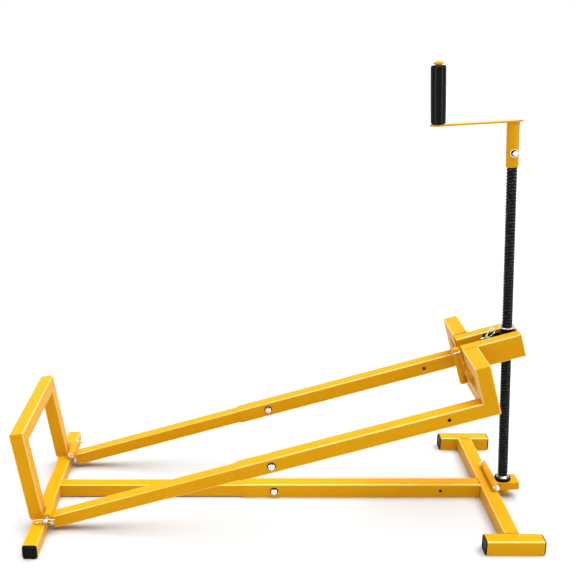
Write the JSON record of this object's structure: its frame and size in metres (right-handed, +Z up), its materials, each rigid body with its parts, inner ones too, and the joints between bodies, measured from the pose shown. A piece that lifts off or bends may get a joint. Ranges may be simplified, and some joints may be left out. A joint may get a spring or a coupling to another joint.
{
  "type": "lawn mower lift",
  "caption": "Screw lift for the front of a ride-on mower: floor frame, telescopic lift frame hinged at its rear, and an upright threaded spindle with a hand crank.",
  "frame": {"origin": "on the floor, under the middle of the front cross tube, on the centre plane", "axes": "+X along the base towards the spindle, +Y across the base, +Z up"},
  "size_m": [1.4179, 0.65, 1.2355],
  "materials": {
    "yellow_paint": "gloss",
    "zinc_plate": "satin",
    "black_plastic": "matte",
    "black_steel": "satin",
    "bearing_steel": "satin",
    "black_rubber": "matte"
  },
  "bodies": {
    "base": {"base_beam_outer": "yellow_paint", "base_beam_inner": "yellow_paint", "base_beam_bolt": "zinc_plate", "base_beam_nut": "zinc_plate", "front_cross_tube": "yellow_paint", "rear_cross_tube": "yellow_paint", "near_foot": "yellow_paint", "far_foot": "yellow_paint", "near_foot_plugs": "black_plastic", "far_foot_plugs": "black_plastic", "rear_plugs": "black_plastic", "near_hoop_leg": "yellow_paint", "far_hoop_leg": "yellow_paint", "hoop_top_bar": "yellow_paint", "near_rear_knuckles": "yellow_paint", "far_rear_knuckles": "yellow_paint", "near_hitch_pin": "zinc_plate", "far_hitch_pin": "zinc_plate", "near_hitch_clip": "zinc_plate", "far_hitch_clip": "zinc_plate", "spindle_fixed_knuckles": "yellow_paint", "spindle_hinge_bolt": "zinc_plate", "spindle_hinge_nut": "zinc_plate"},
    "lift_frame": {"near_arm_knuckle": "yellow_paint", "far_arm_knuckle": "yellow_paint", "near_arm_inner": "yellow_paint", "far_arm_inner": "yellow_paint", "near_arm_outer": "yellow_paint", "far_arm_outer": "yellow_paint", "arm_bolts": "zinc_plate", "arm_nuts": "zinc_plate", "near_post": "yellow_paint", "far_post": "yellow_paint", "near_upper_tube": "yellow_paint", "far_upper_tube": "yellow_paint", "lower_cross_tube": "yellow_paint", "near_prong": "yellow_paint", "far_prong": "yellow_paint", "prong_end_plate": "yellow_paint", "hanging_pin": "yellow_paint", "hanging_pin_ring": "zinc_plate"},
    "spindle_foot": {"spindle_moving_knuckle": "yellow_paint", "pivot_block": "yellow_paint", "lower_race": "black_steel"},
    "lift_nut": {"lift_nut": "black_steel", "lift_nut_washer": "zinc_plate", "keeper_pin": "zinc_plate", "keeper_clip": "zinc_plate"},
    "spindle": {"lead_screw": "black_steel", "upper_race": "bearing_steel", "retaining_nut": "yellow_paint", "crank_sleeve": "yellow_paint", "crank_bolt": "zinc_plate", "crank_washer": "zinc_plate", "crank_nut": "zinc_plate", "crank_arm": "yellow_paint", "grip_rod": "yellow_paint"},
    "grip": {"crank_grip": "black_rubber"},
    "drill_adapter": {"drill_adapter": "yellow_paint"}
  },
  "joints": [
    {"name": "lift_tilt", "type": "hinge", "parent": "base", "child": "lift_frame", "pos_m": [-1.23848, 0, 0.053], "axis": [0, -1, 0], "range_deg": [-13, 18]},
    {"name": "spindle_lean", "type": "hinge", "parent": "base", "child": "spindle_foot", "pos_m": [0.013, 0, 0.0524], "axis": [0, -1, 0], "range_deg": [-9.67, 13.37]},
    {"name": "nut_climb", "type": "slide", "parent": "spindle_foot", "child": "lift_nut", "axis": [-0.0593, 0, 0.9982], "range_m": [-0.2832, 0.3921]},
    {"name": "crank_spin", "type": "hinge", "parent": "spindle_foot", "child": "spindle", "pos_m": [0.04694, 0, 0.05442], "axis": [-0.0593, 0, 0.9982], "continuous": true},
    {"name": "grip_spin", "type": "hinge", "parent": "spindle", "child": "grip", "pos_m": [-0.20686, 0, 1.07216], "axis": [-0.0593, 0, 0.9982], "continuous": true},
    {"name": "adapter_lift_off", "type": "slide", "parent": "base", "child": "drill_adapter", "axis": [0, 0, 1], "range_m": [0, 0.3]}
  ],
  "couplings": [
    {"joint": "spindle_lean", "follows": "lift_tilt", "ratio": 0.74},
    {"joint": "nut_climb", "follows": "lift_tilt", "m_per_rad": 1.2475}
  ]
}
